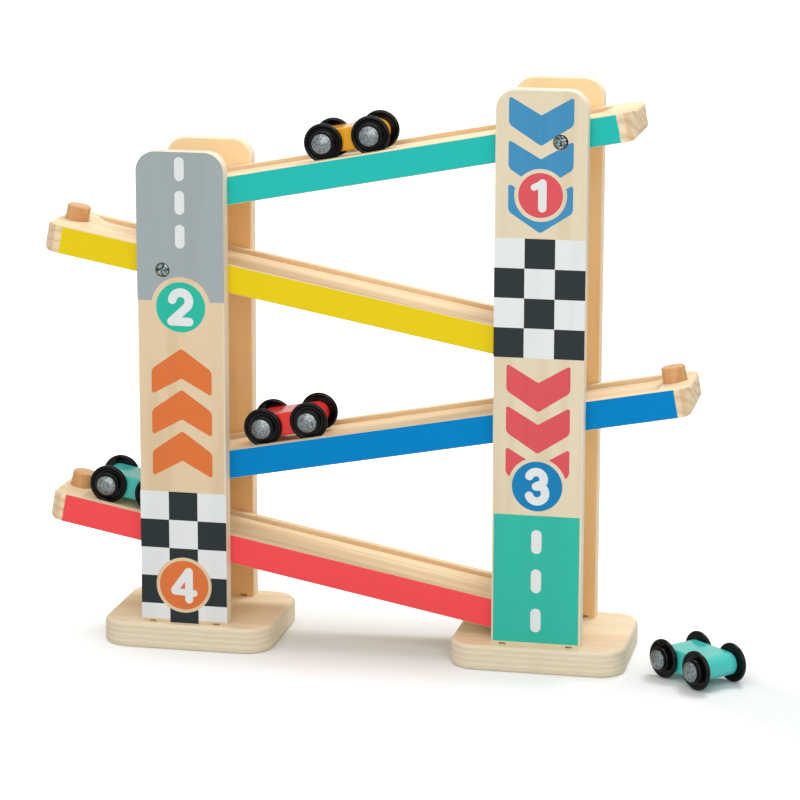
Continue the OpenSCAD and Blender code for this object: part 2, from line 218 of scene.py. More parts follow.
# %% Light the toy
FILL_STRENGTH = 0.42
MIRROR_SHARE = 0.75
TOY_MIDDLE = (0.1, 0.0, 0.15)
LAMPS = {"key": {"size": 0.5, "power": 7.6, "place": (0.45, 0.5, 1.2)},
         "front": {"size": 1.5, "power": 12.8, "place": (0.3, -1.35, 0.95)},
         "top": {"size": 1.0, "power": 4.0, "place": (-0.3, 0.0, 1.35)}}


def sky(tree, tone, strength):
    """A plain background of one colour."""
    node = tree.nodes.new("ShaderNodeBackground")
    node.inputs["Color"].default_value = tone
    node.inputs["Strength"].default_value = strength
    return node.outputs[0]


def make_world():
    """A soft fill that the camera and mirrors see as a white sheet."""
    world = bpy.data.worlds.new("studio")
    world.use_nodes = True
    tree = world.node_tree
    tree.nodes.clear()
    ray = tree.nodes.new("ShaderNodeLightPath").outputs
    mirrored = maths(tree, "MULTIPLY_ADD", ray["Is Glossy Ray"], MIRROR_SHARE, ray["Is Transmission Ray"])
    seen = maths(tree, "MAXIMUM", ray["Is Camera Ray"], mirrored)
    pick = tree.nodes.new("ShaderNodeMixShader")
    fill, white = sky(tree, (1, 0.99, 0.97, 1), FILL_STRENGTH), sky(tree, (1, 1, 1, 1), 1.0)
    for socket, value in zip(pick.inputs, (seen, fill, white)):
        tree.links.new(value, socket)
    tree.links.new(pick.outputs[0], tree.nodes.new("ShaderNodeOutputWorld").inputs["Surface"])
    return world


def soft_light(name, size, power, place):
    """A square lamp of that size in metres, that looks at the middle of the toy."""
    data = bpy.data.lights.new(name, "AREA")
    data.shape, data.size, data.energy = "SQUARE", size, power
    lamp = bpy.data.objects.new(name, data)
    bpy.context.scene.collection.objects.link(lamp)
    lamp.location = place
    lamp.rotation_euler = (Vector(TOY_MIDDLE) - Vector(place)).to_track_quat("-Z", "Y").to_euler()


bpy.context.scene.world = make_world()
bpy.context.scene.view_settings.view_transform = "Standard"
for name, lamp in LAMPS.items():
    soft_light(name, **lamp)

# %% [markdown]
# ## Materials
# A finish is one Principled shader with a graph in front of it. These helpers start a material, let a
# height bend the light on it, and put it on a piece of the toy. The specular level is called shine
# here: bare wood and flat paint have little of it.

# %% Define the material helpers
def start_material(name, base=(0.8, 0.8, 0.8, 1), roughness=0.5, metallic=0.0, coat=0.0,
                   coat_roughness=0.03, shine=0.5):
    """A new material, returned with its graph and its shader."""
    material = bpy.data.materials.new(name)
    material.use_nodes = True
    shader = material.node_tree.nodes["Principled BSDF"]
    for socket, value in (("Base Color", base), ("Roughness", roughness), ("Metallic", metallic),
                          ("Coat Weight", coat), ("Coat Roughness", coat_roughness),
                          ("Specular IOR Level", shine)):
        shader.inputs[socket].default_value = value
    return material, material.node_tree, shader


def bump(tree, shader, height, strength, distance=0.0002):
    """Feeds a height into the shader's normal."""
    node = tree.nodes.new("ShaderNodeBump")
    node.inputs["Strength"].default_value = strength
    node.inputs["Distance"].default_value = distance
    tree.links.new(height, node.inputs["Height"])
    tree.links.new(node.outputs[0], shader.inputs["Normal"])


def dress(node, material):
    """Puts a material in every slot of a node."""
    slots = nodes[node].data.materials
    if len(slots) == 0:
        slots.append(material)
    for k in range(len(slots)):
        slots[k] = material


print("pieces to dress:", len(nodes))

# %% [markdown]
# ## Wood grain
# Softwood shows three things at once: slow bands of pale and darker growth, fine fibres along the
# board, and short dark pores. All three are noise, pulled out long along the grain. The group takes a
# point whose X runs along the grain, so one group serves boards that lie any way.

# %% Build the wood grain group
BAND_STRETCH = (3.5, 42, 42)
FIBRE_STRETCH = (22, 900, 900)
PORE_STRETCH = (90, 2600, 2600)
BANDS_PER_NOISE, BAND_SHARPNESS = 46, 2.2
FIBRE_MIDDLE = 0.42
PORE_SLOPE, PORE_START, PORE_SHARE = 3.4, -1.75, 0.35
GRAIN_ROUGHNESS, FIBRE_ROUGHNESS = 0.46, 0.16
FIBRE_HEIGHT, BAND_HEIGHT = 0.6, -0.3
SEED_STEP = 1.7


def add_sockets(group, way, kind, **values):
    """Gives a group named sockets of one kind, each with its usual value or None."""
    for name, value in values.items():
        socket = group.interface.new_socket(name, in_out=way, socket_type=f"NodeSocket{kind}")
        if value is not None:
            socket.default_value = value


def make_grain_group():
    """A group that gives wood's colour, roughness and height."""
    group = bpy.data.node_groups.new("wood_grain", "ShaderNodeTree")
    add_sockets(group, "INPUT", "Vector", Vector=None)
    add_sockets(group, "INPUT", "Color", Light=colour(240, 222, 190), Dark=colour(214, 180, 134))
    add_sockets(group, "INPUT", "Float", Bands=0.5, Fibres=0.3, Spacing=1.0, Seed=0.0)
    add_sockets(group, "OUTPUT", "Color", Color=None)
    add_sockets(group, "OUTPUT", "Float", Roughness=None, Height=None)
    given = group.nodes.new("NodeGroupInput").outputs
    result = group.nodes.new("NodeGroupOutput").inputs

    def layer(stretch, detail, start):
        """Noise pulled out long along X; the seed and start pick a stretch of it."""
        w = maths(group, "MULTIPLY_ADD", given["Seed"], SEED_STEP, start)
        return noise(group, stretched(group, given["Vector"], stretch), scale=1, detail=detail, w=w)

    turns = maths(group, "MULTIPLY", given["Spacing"], BANDS_PER_NOISE)
    wave = maths(group, "SINE", maths(group, "MULTIPLY", layer(BAND_STRETCH, 2, 0.0), turns))
    wave = maths(group, "MULTIPLY_ADD", wave, 0.5, 0.5, clamp=True)
    band = maths(group, "POWER", wave, BAND_SHARPNESS)
    fibre = layer(FIBRE_STRETCH, 3, 3.1)
    pore = maths(group, "MULTIPLY_ADD", layer(PORE_STRETCH, 1, 7.7), PORE_SLOPE, PORE_START, clamp=True)
    tint = maths(group, "MULTIPLY", band, given["Bands"])
    darker = maths(group, "SUBTRACT", fibre, FIBRE_MIDDLE)
    tint = maths(group, "MULTIPLY_ADD", darker, given["Fibres"], tint)
    pore_share = maths(group, "MULTIPLY", given["Fibres"], PORE_SHARE)
    tint = maths(group, "MULTIPLY_ADD", pore, pore_share, tint, clamp=True)
    feed(group, result["Color"], mixed(group, tint, given["Light"], given["Dark"]))
    roughness = maths(group, "MULTIPLY_ADD", fibre, FIBRE_ROUGHNESS, GRAIN_ROUGHNESS)
    feed(group, result["Roughness"], roughness)
    sunk_bands = maths(group, "MULTIPLY", band, BAND_HEIGHT)
    feed(group, result["Height"], maths(group, "MULTIPLY_ADD", fibre, FIBRE_HEIGHT, sunk_bands))
    return group


def add_grain(tree, point, light, dark, bands, fibres, spacing=1.0, seed=0.0):
    """Places the grain group in a material, with its own colours and values."""
    node = tree.nodes.new("ShaderNodeGroup")
    node.node_tree = grain_group
    for name, value in (("Vector", point), ("Light", light), ("Dark", dark), ("Bands", bands),
                        ("Fibres", fibres), ("Spacing", spacing), ("Seed", seed)):
        feed(tree, node.inputs[name], value)
    return node.outputs


def finish_wood(tree, shader, grain, tone, depth):
    """Feeds a wood's colour and its grain's roughness and height to the shader."""
    feed(tree, shader.inputs["Base Color"], tone)
    feed(tree, shader.inputs["Roughness"], grain["Roughness"])
    bump(tree, shader, grain["Height"], depth)


grain_group = make_grain_group()
print("grain sockets:", [s.name for s in grain_group.interface.items_tree])

# %% [markdown]
# ## Plywood edges
# The bases are cut from plywood, so their edges show the layers: every second one is end grain, which
# soaks up a little more and looks darker, with a hairline of glue between them. The layers lie flat, so
# the height alone picks the layer. A little noise keeps the lines from being ruled, and fine flat
# streaks are the fibres that the saw has torn.

# %% Build the plywood group
PLY_LAYER = 0.00154
LINE_WOBBLE = 0.5
GLUE_SLOPE, GLUE_START, GLUE_SHARE = 12, -5.4, 0.4
TORN_PER_METRE = {"along": 420, "up": 2600}
TORN_SHARE, ODD_SHARE, TINT_START = 0.75, 0.18, -0.27


def make_ply_group():
    """A group that gives the colour of a plywood edge at a height."""
    group = bpy.data.node_groups.new("plywood_layers", "ShaderNodeTree")
    add_sockets(group, "INPUT", "Float", Height=None)
    add_sockets(group, "INPUT", "Vector", Along=None)
    add_sockets(group, "INPUT", "Float", Layer=PLY_LAYER)
    add_sockets(group, "INPUT", "Color", Light=colour(236, 224, 198), Dark=colour(192, 168, 130))
    add_sockets(group, "OUTPUT", "Color", Color=None)
    given = group.nodes.new("NodeGroupInput").outputs
    result = group.nodes.new("NodeGroupOutput").inputs

    wobble = noise(group, given["Along"], scale=35, detail=2)
    wobble = maths(group, "MULTIPLY_ADD", wobble, LINE_WOBBLE, -LINE_WOBBLE / 2)
    level = maths(group, "ADD", maths(group, "DIVIDE", given["Height"], given["Layer"]), wobble)
    pairs = maths(group, "MULTIPLY", maths(group, "FLOOR", level), 0.5)
    odd = maths(group, "MULTIPLY", maths(group, "FRACT", pairs), 2)
    off_middle = maths(group, "ABSOLUTE", maths(group, "SUBTRACT", maths(group, "FRACT", level), 0.5))
    glue = maths(group, "MULTIPLY_ADD", off_middle, GLUE_SLOPE, GLUE_START, clamp=True)

    along = split_xyz(group, given["Along"])
    flat = group.nodes.new("ShaderNodeCombineXYZ")
    run = maths(group, "ADD", along["X"], along["Y"])
    run = maths(group, "MULTIPLY", run, TORN_PER_METRE["along"])
    feed(group, flat.inputs["X"], run)
    feed(group, flat.inputs["Z"], maths(group, "MULTIPLY", given["Height"], TORN_PER_METRE["up"]))
    torn = noise(group, flat.outputs[0], scale=1, detail=2)
    tint = maths(group, "MULTIPLY_ADD", odd, ODD_SHARE, TINT_START)
    tint = maths(group, "MULTIPLY_ADD", torn, TORN_SHARE, tint)
    tint = maths(group, "MULTIPLY_ADD", glue, GLUE_SHARE, tint, clamp=True)
    feed(group, result["Color"], mixed(group, tint, given["Light"], given["Dark"]))
    return group


ply_group = make_ply_group()
print("plywood sockets:", [s.name for s in ply_group.interface.items_tree])

# %% [markdown]
# ## Wood for the towers
# The plates are boards that stand on end, so their grain runs up. Their sanded edges are paler than
# their faces, and the surface's normal tells the two apart. The back plates' faces are painted a warmer,
# more orange tone as painted shade for light bounced between the boards, and their tops, which stand
# free in the light, get a paler painted highlight above a height.

# %% Finish the plates
SANDED_EDGE = colour(246, 236, 216)
# Painted highlight: the paler colour that a back plate's top turns to where it stands free in the light.
PAINTED_LIT_TOP = colour(250, 230, 190)
FRONT_TONES = {"left": (colour(225, 202, 167), colour(205, 174, 130)),
               "right": (colour(226, 212, 183), colour(208, 186, 147))}
# The back plates' tones are warmer and more orange than their wood: painted shade for light bounced between
# the boards.
BACK_TONES_WITH_BOUNCE_SHADE = {"left": (colour(250, 204, 142), colour(232, 172, 104)),
              "right": (colour(250, 210, 152), colour(234, 182, 116))}
LIT_TOP_ABOVE = {"left": 236, "right": 274}
LIT_TOP_SLOPE = 45
EDGE_SHARE, LIT_TOP_SHARE = 0.62, 0.6


def plate_wood(name, tones, seed, lit_top_from=None):
    """A board on end; the last argument is a height in millimetres from which its top gets a paler painted
    highlight.
    """
    material, tree, shader = start_material(name, shine=0.25)
    upright = object_point(tree, rotation=UP_TO_X)
    grain = add_grain(tree, upright, *tones, bands=0.34, fibres=0.26, spacing=0.55, seed=seed)
    wood = grain["Color"]
    # Painted highlight: above the given height the board turns paler, as its top is lit.
    if lit_top_from:
        height = split_xyz(tree, object_point(tree))["Z"]
        free = rises(tree, height, lit_top_from * MM, LIT_TOP_SLOPE, at_edge=0)
        wood = mixed(tree, maths(tree, "MULTIPLY", free, LIT_TOP_SHARE), wood, PAINTED_LIT_TOP)
    edge = mixed(tree, EDGE_SHARE, wood, SANDED_EDGE)
    tone = mixed(tree, facing(tree, "Y", slope=5, start=-4), edge, wood)
    finish_wood(tree, shader, grain, tone, depth=0.18)
    return material


for k, side in enumerate(("left", "right")):
    front_wood = plate_wood(f"{side}_front_wood", FRONT_TONES[side], seed=1.0 + k)
    back_wood = plate_wood(f"{side}_back_wood", BACK_TONES_WITH_BOUNCE_SHADE[side], 4.0 + k, LIT_TOP_ABOVE[side])
    dress(f"{side}_front_plate", front_wood)
    dress(f"{side}_back_plate", back_wood)
print("plates done")

# %% [markdown]
# ## Plywood for the bases
# Seen from above a base is one sheet of veneer, and its edge shows the layers. The surface's normal
# tells the two apart, with a soft change over the rounded edge.

# %% Finish the bases
VENEER = (colour(247, 229, 197), colour(233, 198, 148))
EDGE_STRETCH = (0.25, 0.25, 1)


def base_wood(name, seed):
    """A plywood board: veneer above, layers on its edge."""
    material, tree, shader = start_material(name, shine=0.25)
    point = object_point(tree)
    veneer = add_grain(tree, point, *VENEER, bands=0.42, fibres=0.25, spacing=0.6, seed=seed)
    ply = tree.nodes.new("ShaderNodeGroup")
    ply.node_tree = ply_group
    feed(tree, ply.inputs["Height"], split_xyz(tree, point)["Z"])
    feed(tree, ply.inputs["Along"], object_point(tree, scale=EDGE_STRETCH))
    on_edge = facing(tree, "Z", slope=-4, start=3.6)
    tone = mixed(tree, on_edge, veneer["Color"], ply.outputs["Color"])
    finish_wood(tree, shader, veneer, tone, depth=0.15)
    return material


dress("left_base", base_wood("left_base_wood", seed=7.0))
dress("right_base", base_wood("right_base_wood", seed=8.0))
print("bases done")

# %% [markdown]
# ## Where a point lies on a ramp
# Each ramp is bare pine with its long sides painted. The painter masks the last centimetre of the high
# end, and the paint stops a hair below the top edge. The material works this out from the place on the
# beam: how far along, how high, and whether it is on a long side. A little noise makes the masked line
# real. The growth rings show only on the bare end, as arcs about a pith that lies outside the beam.

# %% Find the painted part and the rings of a ramp
BARE_END = {1: 9.65, 2: 9.9, 3: 8.6, 4: 8.6}
BARE_LIP = {1: 0.65, 2: 0.65, 3: 0.2, 4: 0.05}
BARE_FOOT = 0.3
RAGGED = {1: 2.0, 2: 0.9, 3: 0.4, 4: 0.9}
SIDE_SKIN = 0.6
PITH = {1: (18, 34), 2: (-20, 30), 3: (14, 38), 4: (-22, -32)}
RING_GAP, RING_WANDER, RING_SHARPNESS = 5.2, 3.2, 2.4
MASK_SHARP, LIP_SHARP, SIDE_SHARP = 8, 10, 8000


def ramp_middle(number):
    """The height of a ramp's middle line halfway between the towers, from its lowest corner."""
    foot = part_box(f"ramp_{number}")[0].z / MM
    rise = (middle_x + low_reach) * math.tan(ramp_slope)
    return foot + ramp_thick / 2 * math.cos(ramp_slope) + rise


def painted_part(tree, number, along, above, y, wander):
    """Three masks: where a ramp is painted, what lies before its bare end, and its long sides."""
    end = (middle_x + high_reach[number]) / math.cos(ramp_slope)
    ragged = RAGGED[number]
    line = maths(tree, "MULTIPLY_ADD", wander, ragged, end - BARE_END[number] - ragged / 2)
    before_end = rises(tree, line, along, MASK_SHARP)
    below_top = rises(tree, ramp_thick / 2 - BARE_LIP[number], above, LIP_SHARP)
    above_foot = rises(tree, above, BARE_FOOT - ramp_thick / 2, LIP_SHARP)
    out = maths(tree, "ABSOLUTE", y)
    on_side = rises(tree, out, (ramp_side - SIDE_SKIN) * MM, SIDE_SHARP, at_edge=0)
    painted = maths(tree, "MULTIPLY", maths(tree, "MULTIPLY", before_end, below_top),
                    maths(tree, "MULTIPLY", above_foot, on_side))
    return painted, before_end, on_side


def growth_rings(tree, number, y, above, wander):
    """0 to 1 across each growth ring of a ramp's end."""
    pith_y, pith_z = PITH[number]
    from_y = maths(tree, "MULTIPLY_ADD", y, 1 / MM, -pith_y)
    from_z = maths(tree, "SUBTRACT", above, pith_z)
    squares = maths(tree, "ADD", maths(tree, "POWER", from_y, 2), maths(tree, "MULTIPLY", from_z, from_z))
    wandering = maths(tree, "MULTIPLY", wander, RING_WANDER)
    turns = maths(tree, "MULTIPLY_ADD", maths(tree, "SQRT", squares), math.tau / RING_GAP, wandering)
    wave = maths(tree, "MULTIPLY_ADD", maths(tree, "SINE", turns), 0.5, 0.5)
    return maths(tree, "POWER", wave, RING_SHARPNESS)


print("ramp middles:", {i: round(ramp_middle(i), 1) for i in (1, 2, 3, 4)})

# %% [markdown]
# ## Painted ramps
# The layers go on as on the real beam: pine, duller where it is sawn across, rings on the bare end, and
# paint. Before the paint, the inner walls of the channel get painted shade: a warmer tone, as light
# reaches them only off other wood.

# %% Finish the ramps
PINE = (colour(243, 224, 190), colour(224, 186, 140))
SAWN = colour(212, 190, 158)
RING = colour(196, 154, 114)
# Painted shade: a warmer, darker tone for the channel's inner walls, which light reaches only off other
# wood.
CHANNEL_WALL_SHADE = colour(206, 158, 106)
SAWN_SHARE, RING_SHARE, WALL_SHADE_SHARE = 0.3, 0.42, 0.4
PAINT_SMOOTHER = 0.1
LONG_GRAIN = (0.4, 1, 1)
RAMP_PAINTS = {1: colour(40, 188, 180), 2: colour(232, 205, 26), 3: colour(0, 130, 197),
               4: colour(245, 82, 86)}


def ramp_wood(number, paint, seed):
    """A pine beam with its long sides painted."""
    material, tree, shader = start_material(f"ramp_{number}_finish", roughness=0.45, shine=0.06)
    side = high_side[number]
    turned = object_point(tree, rotation=(0, side * ramp_slope, 0))
    grain = add_grain(tree, stretched(tree, turned, LONG_GRAIN), *PINE, bands=0.42, fibres=0.34, seed=seed)
    middle = Vector((middle_x, 0, ramp_middle(number))) * MM
    centre = Matrix.Rotation(side * ramp_slope, 3, "Y") @ middle
    x, y, z = split_xyz(tree, turned)
    along = maths(tree, "MULTIPLY", maths(tree, "SUBTRACT", x, centre.x), side / MM)
    above = maths(tree, "MULTIPLY", maths(tree, "SUBTRACT", z, centre.z), 1 / MM)
    wander = noise(tree, turned, scale=260, detail=3)
    painted, before_end, on_side = painted_part(tree, number, along, above, y, wander)

    sawn = facing(tree, "X", slope=3, start=-1.5)
    wood = mixed(tree, maths(tree, "MULTIPLY", sawn, SAWN_SHARE), grain["Color"], SAWN)
    steep, past_mask = facing(tree, "Z", slope=-5, start=4), maths(tree, "SUBTRACT", 1, before_end)
    ring = growth_rings(tree, number, y, above, wander)
    ring = maths(tree, "MULTIPLY", ring, maths(tree, "MULTIPLY", past_mask, steep))
    wood = mixed(tree, maths(tree, "MULTIPLY", ring, RING_SHARE), wood, RING)
    # Painted shade: faces that look along Y but are not the long sides, the channel's inner walls, turn to
    # that tone.
    upright, inside = facing(tree, "Y", slope=6, start=-4), maths(tree, "SUBTRACT", 1, on_side)
    wall_shade = maths(tree, "MULTIPLY", upright, inside)
    wood = mixed(tree, maths(tree, "MULTIPLY", wall_shade, WALL_SHADE_SHARE), wood, CHANNEL_WALL_SHADE)

    feed(tree, shader.inputs["Base Color"], mixed(tree, painted, wood, paint))
    roughness = maths(tree, "MULTIPLY_ADD", painted, -PAINT_SMOOTHER, grain["Roughness"])
    feed(tree, shader.inputs["Roughness"], roughness)
    bump(tree, shader, grain["Height"], strength=0.15)
    return material


for i, paint in RAMP_PAINTS.items():
    dress(f"ramp_{i}", ramp_wood(i, paint, seed=10.0 + 3 * i))
print("ramps done")

# %% [markdown]
# ## Pegs and dowels
# The pegs are turned from a darker hardwood, with their grain along the peg and paler end grain on top.

# %% Finish the pegs and dowels
HARDWOOD = (colour(222, 172, 118), colour(196, 138, 88))
END_GRAIN = colour(214, 176, 146)
END_GRAIN_SHARE = 0.55


def peg_wood(name, seed):
    """A turned hardwood rod that stands up."""
    material, tree, shader = start_material(name, shine=0.25)
    upright = object_point(tree, rotation=UP_TO_X)
    grain = add_grain(tree, upright, *HARDWOOD, bands=0.5, fibres=0.4, spacing=1.3, seed=seed)
    on_top = facing(tree, "Z", slope=6, start=-4.4, both_ways=False)
    pale = mixed(tree, END_GRAIN_SHARE, grain["Color"], END_GRAIN)
    finish_wood(tree, shader, grain, mixed(tree, on_top, grain["Color"], pale), depth=0.2)
    return material


for i in (2, 3, 4):
    dress(f"ramp_{i}_peg", peg_wood(f"peg_{i}_wood", seed=30.0 + i))
dress("ramp_dowels", peg_wood("dowel_wood", seed=40.0))
print("pegs done")

# %% [markdown]
# ## Car paint
# The car bodies are wooden blocks with a thick gloss lacquer. A clear coat over the colour gives the
# bright edge, and a faint ripple in it keeps the reflection from being a mirror's.

# %% Finish the car bodies
CAR_PAINTS = {"yellow_car": colour(236, 166, 12), "red_car": colour(236, 44, 30),
              "teal_car": colour(62, 197, 188), "floor_car": colour(62, 197, 188)}
PATCH_SLOPE, PATCH_START, PATCH_SHADE = 0.5, -0.12, 0.9


def lacquer(name, paint, seed):
    """Gloss paint under a clear coat."""
    material, tree, shader = start_material(name, paint, roughness=0.26, coat=0.5,
                                            coat_roughness=0.06, shine=0.2)
    ripple = noise(tree, object_point(tree), scale=420, detail=2, w=seed)
    patch = maths(tree, "MULTIPLY_ADD", ripple, PATCH_SLOPE, PATCH_START, clamp=True)
    feed(tree, shader.inputs["Base Color"], mixed(tree, patch, paint, shaded(paint, PATCH_SHADE)))
    bump(tree, shader, ripple, strength=0.05)
    return material


for k, (car, paint) in enumerate(CAR_PAINTS.items()):
    dress(f"{car}_body", lacquer(f"{car}_lacquer", paint, seed=2.0 + k))
print("cars:", list(CAR_PAINTS))

# %% [markdown]
# ## Wheels, caps, axles and screws
# The wheels are moulded in black plastic with a soft gloss. The push-on caps are zinc plated, so they
# are grey metal with pale crystal patches. The screws are dark plated steel.

# %% Finish the running gear
CLOUD_SLOPE, CLOUD_START = 0.12, 0.06
GRIT_TINT, CELL_TINT = 0.8, 0.7
GRIT_ROUGHNESS, GRIT_DEPTH = 0.3, 0.25
GRIT_PER_PATCH = 1.6


def black_plastic():
    """Moulded plastic with a soft gloss that clouds a little."""
    material, tree, shader = start_material("wheel_black", colour(6, 6, 8), roughness=0.2, coat=0.14,
                                            coat_roughness=0.04, shine=0.13)
    cloud = noise(tree, object_point(tree), scale=300, detail=3)
    feed(tree, shader.inputs["Roughness"], maths(tree, "MULTIPLY_ADD", cloud, CLOUD_SLOPE, CLOUD_START))
    return material


def plated(name, light, dark, patches, roughness=0.3, contrast=1.0):
    """Plated metal; patches is how many crystal patches lie side by side in a metre."""
    material, tree, shader = start_material(name, light, roughness=roughness, metallic=0.85)
    point = object_point(tree)
    cells = tree.nodes.new("ShaderNodeTexVoronoi")
    cells.inputs["Scale"].default_value = patches
    tree.links.new(point, cells.inputs["Vector"])
    grit = noise(tree, point, scale=patches * GRIT_PER_PATCH, detail=3)
    grey = maths(tree, "MULTIPLY_ADD", grit, GRIT_TINT * contrast, -GRIT_TINT / 2 * contrast)
    tint = maths(tree, "MULTIPLY_ADD", cells.outputs["Distance"], CELL_TINT * contrast, grey, clamp=True)
    feed(tree, shader.inputs["Base Color"], mixed(tree, tint, light, dark))
    rough = maths(tree, "MULTIPLY_ADD", grit, GRIT_ROUGHNESS, roughness - GRIT_ROUGHNESS / 2)
    feed(tree, shader.inputs["Roughness"], rough)
    bump(tree, shader, grit, strength=GRIT_DEPTH * contrast)
    return material


wheel_black = black_plastic()
zinc = plated("cap_zinc", colour(164, 172, 174), colour(46, 52, 54), 1000, 0.34, contrast=1.25)
steel = plated("axle_steel", colour(190, 190, 190), colour(150, 150, 150), 900)
screw_steel = plated("screw_steel", colour(204, 226, 222), colour(22, 42, 46), 900, contrast=1.9)
for car in CAR_PAINTS:
    for end in ("front", "rear"):
        dress(f"{car}_{end}_wheels", wheel_black)
        dress(f"{car}_{end}_caps", zinc)
        dress(f"{car}_{end}_axle", steel)
dress("ramp_screws", screw_steel)
print("running gear done")

# %% [markdown]
# ## Printing ink
# The signs are screen printed: a film of ink a few hundredths of a millimetre thick, with the wood's
# fibres just showing through. So an ink is grain too, in two close tones of one colour.

# %% Mix the inks
INK_COLOURS = {"grey": (161, 171, 173), "white": (228, 231, 230), "black": (44, 52, 54),
               "green": (42, 187, 161), "orange": (223, 118, 61), "blue": (66, 143, 188),
               "red": (220, 86, 93), "deep_blue": (22, 128, 184), "road_green": (53, 185, 164)}
FIBRE_SHADE = 0.86
INK_ROUGHNESS, INK_FIBRES = 0.16, 0.6


def ink(name, paint):
    """Matt ink through which upright fibres show."""
    material, tree, shader = start_material(name, paint, roughness=0.42, shine=0.12)
    upright = object_point(tree, rotation=UP_TO_X)
    grain = add_grain(tree, upright, paint, shaded(paint, FIBRE_SHADE), bands=0.25, fibres=0.35,
                      spacing=0.55, seed=1.0)
    feed(tree, shader.inputs["Base Color"], grain["Color"])
    roughness = maths(tree, "MULTIPLY_ADD", grain["Roughness"], INK_FIBRES, INK_ROUGHNESS)
    feed(tree, shader.inputs["Roughness"], roughness)
    bump(tree, shader, grain["Height"], strength=0.08)
    return material


inks = {name: ink(f"ink_{name}", colour(*rgb)) for name, rgb in INK_COLOURS.items()}
print("inks:", list(inks))

# %% [markdown]
# ## Films of ink
# Each sign is drawn flat, in the X and Z of its plate, in millimetres from the plate's middle and from
# the top of its base. Then it is pulled out to a thin film, a hair in front of the plate. Grounds and
# discs are one film thick, and road lines and figures lie on them and are two. Where a disc has a bare
# gap about it, a round tool bites the gap out of the ground by a boolean cut.

# %% Define the film helpers
FILM = 0.03
SUNK = 0.01
BITE_DEPTH = 8
WELD = 0.001


def to_mesh(bm, name):
    """The mesh of a finished drawing."""
    mesh = bpy.data.meshes.new(name)
    bm.to_mesh(mesh)
    bm.free()
    return mesh


def film(bm, side, level, *names, sunk=SUNK):
    """Gives a flat drawing its thickness and its inks, and moves it onto its plate, in metres."""
    bmesh.ops.remove_doubles(bm, verts=bm.verts, dist=WELD)
    pulled = bmesh.ops.extrude_face_region(bm, geom=bm.faces[:])
    front = [v for v in pulled["geom"] if isinstance(v, bmesh.types.BMVert)]
    bmesh.ops.translate(bm, verts=front, vec=(0, -FILM * level - sunk, 0))
    place = Matrix.Translation((tower_x[side], plate_front + sunk, base_top))
    bmesh.ops.transform(bm, matrix=Matrix.Scale(MM, 4) @ place, verts=bm.verts)
    bmesh.ops.recalc_face_normals(bm, faces=bm.faces)
    mesh = to_mesh(bm, "film")
    for name in names:
        mesh.materials.append(inks[name])
    return mesh


def finish_print(name, mesh):
    """Makes a film a piece of the toy."""
    mesh.name = name
    piece = bpy.data.objects.new(name, mesh)
    bpy.context.scene.collection.objects.link(piece)
    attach(piece, "toy")
    return piece


def boolean(first, others, operation):
    """The first mesh with the others joined to it or cut out of it."""
    made = []
    for mesh in (first, *others):
        made.append(bpy.data.objects.new("tool", mesh))
        bpy.context.scene.collection.objects.link(made[-1])
    for tool in made[1:]:
        step = made[0].modifiers.new("step", "BOOLEAN")
        step.operation, step.solver, step.object = operation, "EXACT", tool
    finished = made[0].evaluated_get(bpy.context.evaluated_depsgraph_get())
    result = bpy.data.meshes.new_from_object(finished)
    for tool in made:
        bpy.data.objects.remove(tool, do_unlink=True)
    return result


def bite(side, x, z, radius):
    """A round tool that goes through the films on a plate."""
    bm = bmesh.new()
    place = Matrix.Translation((tower_x[side] + x, plate_front, base_top + z))
    bmesh.ops.create_cone(bm, cap_ends=True, segments=96, radius1=radius, radius2=radius,
                          depth=BITE_DEPTH, matrix=place @ Matrix.Rotation(math.pi / 2, 4, "X"))
    bmesh.ops.transform(bm, matrix=Matrix.Scale(MM, 4), verts=bm.verts)
    return to_mesh(bm, "bite")


print("one film is", FILM, "mm thick")

# %% [markdown]
# ## Flat shapes
# The signs need five shapes: a panel, a disc, a road dash, an arrow and a checked flag. Corners are
# rounded by the bevel operator on the outline's points, which keeps an outline to its few true corners.

# %% Define the shapes of the signs
CHECK_WIDE, CHECK_HIGH = 16.0, 15.78
DASH_ROUND_SHARE = 0.98
BLACK_FOOT = 0.2


def round_off(bm, corners, radius, steps=6):
    """Rounds some corners of a flat shape."""
    bmesh.ops.bevel(bm, geom=corners, offset=radius, offset_type="OFFSET", affect="VERTICES",
                    segments=steps, profile=0.5, material=-1)


def outline(bm, points):
    """A flat face through the points, given as X and Z; returns its corners."""
    corners = [bm.verts.new((x, 0, z)) for x, z in points]
    bm.faces.new(corners)
    return corners


def panel(bm, foot, top, half_wide):
    """A rectangle; returns its corners, the two lower ones first."""
    return outline(bm, [(-half_wide, foot), (half_wide, foot), (half_wide, top), (-half_wide, top)])


def disc(bm, z, radius):
    """A round face, facing the front."""
    turn_up = Matrix.Translation((0, 0, z)) @ Matrix.Rotation(math.pi / 2, 4, "X")
    bmesh.ops.create_circle(bm, cap_ends=True, segments=64, radius=radius, matrix=turn_up)


def dash(bm, top, length, wide):
    """A road dash: a bar with round ends."""
    round_off(bm, panel(bm, top - length, top, wide / 2), wide / 2 * DASH_ROUND_SHARE, 8)


def arrow(bm, top, half_wide, shoulder, notch, arm, down=False):
    """A broad arrow with its highest point at top; shoulder and notch are depths behind its point."""
    point_z, back = (top - (shoulder + arm), 1) if down else (top, -1)
    shape = [(0, 0), (half_wide, shoulder), (half_wide, shoulder + arm), (0, notch),
             (-half_wide, shoulder + arm), (-half_wide, shoulder)]
    corners = outline(bm, [(across, point_z + back * depth) for across, depth in shape])
    point, right, right_tail, inner, left_tail, left = corners
    round_off(bm, [right, right_tail, left_tail, left], 2.0)
    round_off(bm, [point], 1.2)
    round_off(bm, [inner], 0.5)


def drawn(shape, tops, **sizes):
    """A new drawing with a shape at each of some heights."""
    bm = bmesh.new()
    for top in tops:
        shape(bm, top, **sizes)
    return bm


